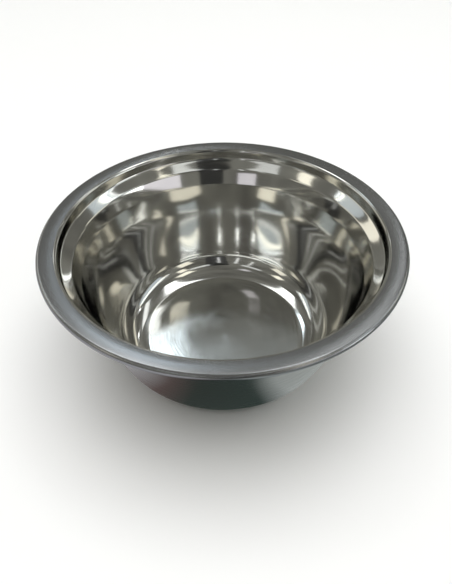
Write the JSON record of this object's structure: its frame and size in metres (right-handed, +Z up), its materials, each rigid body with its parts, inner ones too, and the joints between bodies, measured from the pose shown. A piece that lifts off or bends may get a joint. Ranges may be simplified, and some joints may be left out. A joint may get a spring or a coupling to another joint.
{
  "type": "shaving bowl",
  "caption": "Round steel shaving bowl, open at the top, with a tapered wall, a stepped neck and a broad satin rim that rolls under.",
  "frame": {"origin": "middle of the flat underside, on the bowl's axis", "axes": "+Z up along the bowl's axis, towards the open mouth; X and Y are free because the bowl is turned"},
  "size_m": [0.12, 0.12, 0.05],
  "materials": {
    "stainless_steel": "polished"
  },
  "bodies": {
    "root": {"pressed_bowl": "stainless_steel"}
  },
  "joints": []
}
